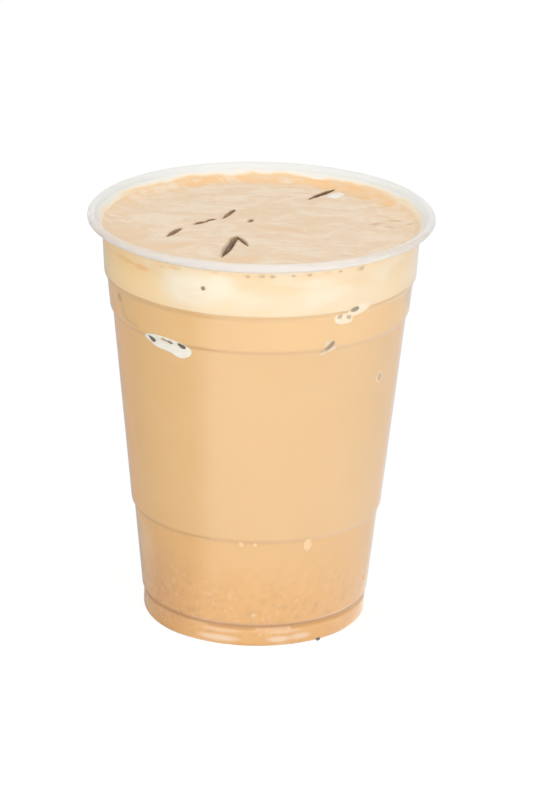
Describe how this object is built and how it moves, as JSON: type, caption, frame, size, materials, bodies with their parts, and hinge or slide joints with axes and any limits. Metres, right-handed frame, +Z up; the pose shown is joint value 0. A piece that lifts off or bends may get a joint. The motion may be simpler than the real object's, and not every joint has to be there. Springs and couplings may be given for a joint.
{
  "type": "iced chai latte in a clear plastic cup",
  "caption": "Tapered clear cup with stepped grip bands and a rolled rim, filled with a milky iced drink under a thick layer of foam.",
  "frame": {"origin": "middle of the circle on the table that the foot ring stands on", "axes": "+Z up along the cup's axis; the cup is round, and -Y faces the viewer"},
  "size_m": [0.098, 0.098, 0.12],
  "materials": {
    "cup_plastic": "clear, slightly milky towards the rim",
    "drink": "opaque milky liquid",
    "foam": "fine foam"
  },
  "bodies": {
    "root": {"cup": "cup_plastic", "latte": "drink", "foam": "foam"}
  },
  "joints": []
}
